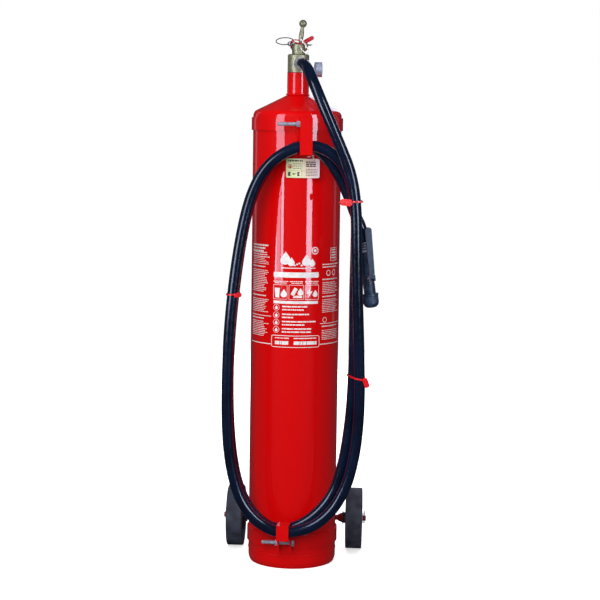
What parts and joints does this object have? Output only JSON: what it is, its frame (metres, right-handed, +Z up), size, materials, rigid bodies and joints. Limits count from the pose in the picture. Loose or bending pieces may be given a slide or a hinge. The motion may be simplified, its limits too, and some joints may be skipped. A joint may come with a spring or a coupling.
{
  "type": "wheeled fire extinguisher",
  "caption": "Tall cylinder fire extinguisher on an axle with two wheels, a lever valve, a long coiled hose with a discharge gun, hose hooks and a pull-pin.",
  "frame": {"origin": "on the cylinder's axis, at the floor", "axes": "+Z up along the cylinder, -Y towards the front that carries the hose, +X to a viewer's right and along the axle"},
  "size_m": [0.3663, 0.376, 1.252],
  "materials": {
    "red_paint": "gloss",
    "powder": "matte",
    "inner_plastic": "matte",
    "seal_rubber": "matte",
    "valve_brass": "satin",
    "zinc_steel": "satin",
    "chrome": "polished",
    "dial_paint": "matte",
    "needle_paint": "matte",
    "clear_lens": "gloss",
    "hose_rubber": "gloss",
    "black_plastic": "satin",
    "red_plastic": "gloss",
    "tyre_rubber": "matte",
    "card": "matte",
    "thread": "matte"
  },
  "bodies": {
    "cylinder": {"shell_tube": "red_paint", "base_skirt": "red_paint", "bottom_dish": "red_paint", "top_cone": "red_paint", "neck_boss": "red_paint", "powder_charge": "powder", "siphon_tube": "inner_plastic", "neck_seal": "seal_rubber", "valve_body": "valve_brass", "valve_bonnet": "valve_brass", "lever_pivot_pin": "zinc_steel", "spindle_spring": "zinc_steel", "seal_strap": "red_plastic", "seal_tag": "red_plastic", "seal_thread": "thread", "gauge_stem": "zinc_steel", "gauge_case": "chrome", "gauge_dial": "dial_paint", "gauge_lens": "clear_lens", "gauge_bezel": "chrome", "outlet_nipple": "zinc_steel", "ferrule_valve": "zinc_steel", "hose": "hose_rubber", "ferrule_gun": "zinc_steel", "gun_body": "black_plastic", "trigger_pin": "zinc_steel", "gun_nozzle": "black_plastic", "upper_band": "red_paint", "upper_hook": "red_paint", "upper_bolt": "zinc_steel", "clamp_nuts": "zinc_steel", "rear_handle": "red_paint", "lower_band": "red_paint", "lower_hook": "red_paint", "lower_bolt": "zinc_steel", "axle": "red_paint", "axle_brackets": "red_paint", "axle_collars": "zinc_steel", "inner_washers": "zinc_steel", "outer_washers": "zinc_steel", "cotter_pins": "zinc_steel", "hose_tie_upper": "red_plastic", "hose_tie_left": "red_plastic", "hose_tie_lower": "red_plastic"},
    "left_wheel": {"left_tyre": "tyre_rubber", "left_rim": "black_plastic", "left_bush": "inner_plastic"},
    "right_wheel": {"right_tyre": "tyre_rubber", "right_rim": "black_plastic", "right_bush": "inner_plastic"},
    "lever": {"lever": "valve_brass"},
    "spindle": {"valve_spindle": "valve_brass", "spindle_seal": "seal_rubber"},
    "safety_pin": {"safety_pin": "zinc_steel"},
    "pull_ring": {"pull_ring": "zinc_steel"},
    "gauge_needle": {"gauge_needle": "needle_paint"},
    "gun_trigger": {"gun_trigger": "black_plastic"},
    "gun_plunger": {"gun_plunger": "zinc_steel"},
    "inspection_card": {"inspection_card": "card", "card_cord": "thread"}
  },
  "joints": [
    {"name": "left_wheel_spin", "type": "hinge", "parent": "cylinder", "child": "left_wheel", "pos_m": [-0.142, 0.1114, 0.0735], "axis": [1, 0, 0], "continuous": true},
    {"name": "right_wheel_spin", "type": "hinge", "parent": "cylinder", "child": "right_wheel", "pos_m": [0.142, 0.1114, 0.0735], "axis": [1, 0, 0], "continuous": true},
    {"name": "lever_swing", "type": "hinge", "parent": "cylinder", "child": "lever", "pos_m": [0.002, 0, 1.188], "axis": [-1, 0, 0], "range_deg": [0, 85]},
    {"name": "spindle_slide", "type": "slide", "parent": "cylinder", "child": "spindle", "axis": [0, 0, -1], "range_m": [0, 0.0041], "stiffness_N_per_m": 100, "springref_m": -0.02, "deforming": ["spindle_spring"]},
    {"name": "safety_pin_pull", "type": "slide", "parent": "cylinder", "child": "safety_pin", "axis": [-1, 0, 0], "range_m": [0, 0.046]},
    {"name": "pull_ring_swing", "type": "hinge", "parent": "safety_pin", "child": "pull_ring", "pos_m": [-0.0191, -0.009, 1.197], "axis": [0.766, 0.5826, 0.2717], "range_deg": [0, 45]},
    {"name": "gauge_needle_turn", "type": "hinge", "parent": "cylinder", "child": "gauge_needle", "pos_m": [0.0443, 0.0078, 1.14], "axis": [0.9848, 0.1736, 0], "range_deg": [-60, 60], "stiffness_Nm_per_rad": 0.001},
    {"name": "trigger_squeeze", "type": "hinge", "parent": "cylinder", "child": "gun_trigger", "pos_m": [0.17796, -0.13392, 0.67785], "axis": [-0.8857, -0.4478, -0.1222], "range_deg": [0, 4.4], "stiffness_Nm_per_rad": 1, "springref_deg": -5.73},
    {"name": "plunger_slide", "type": "slide", "parent": "cylinder", "child": "gun_plunger", "axis": [-0.4436, 0.8941, -0.0612], "range_m": [0, 0.0017]},
    {"name": "card_swing", "type": "hinge", "parent": "cylinder", "child": "inspection_card", "pos_m": [0.0195, -0.10465, 0.9484], "axis": [-1, 0, 0], "range_deg": [0, 35]}
  ],
  "couplings": [
    {"joint": "spindle_slide", "follows": "lever_swing", "m_per_rad": 0.00273},
    {"joint": "plunger_slide", "follows": "trigger_squeeze", "m_per_rad": 0.0211}
  ]
}
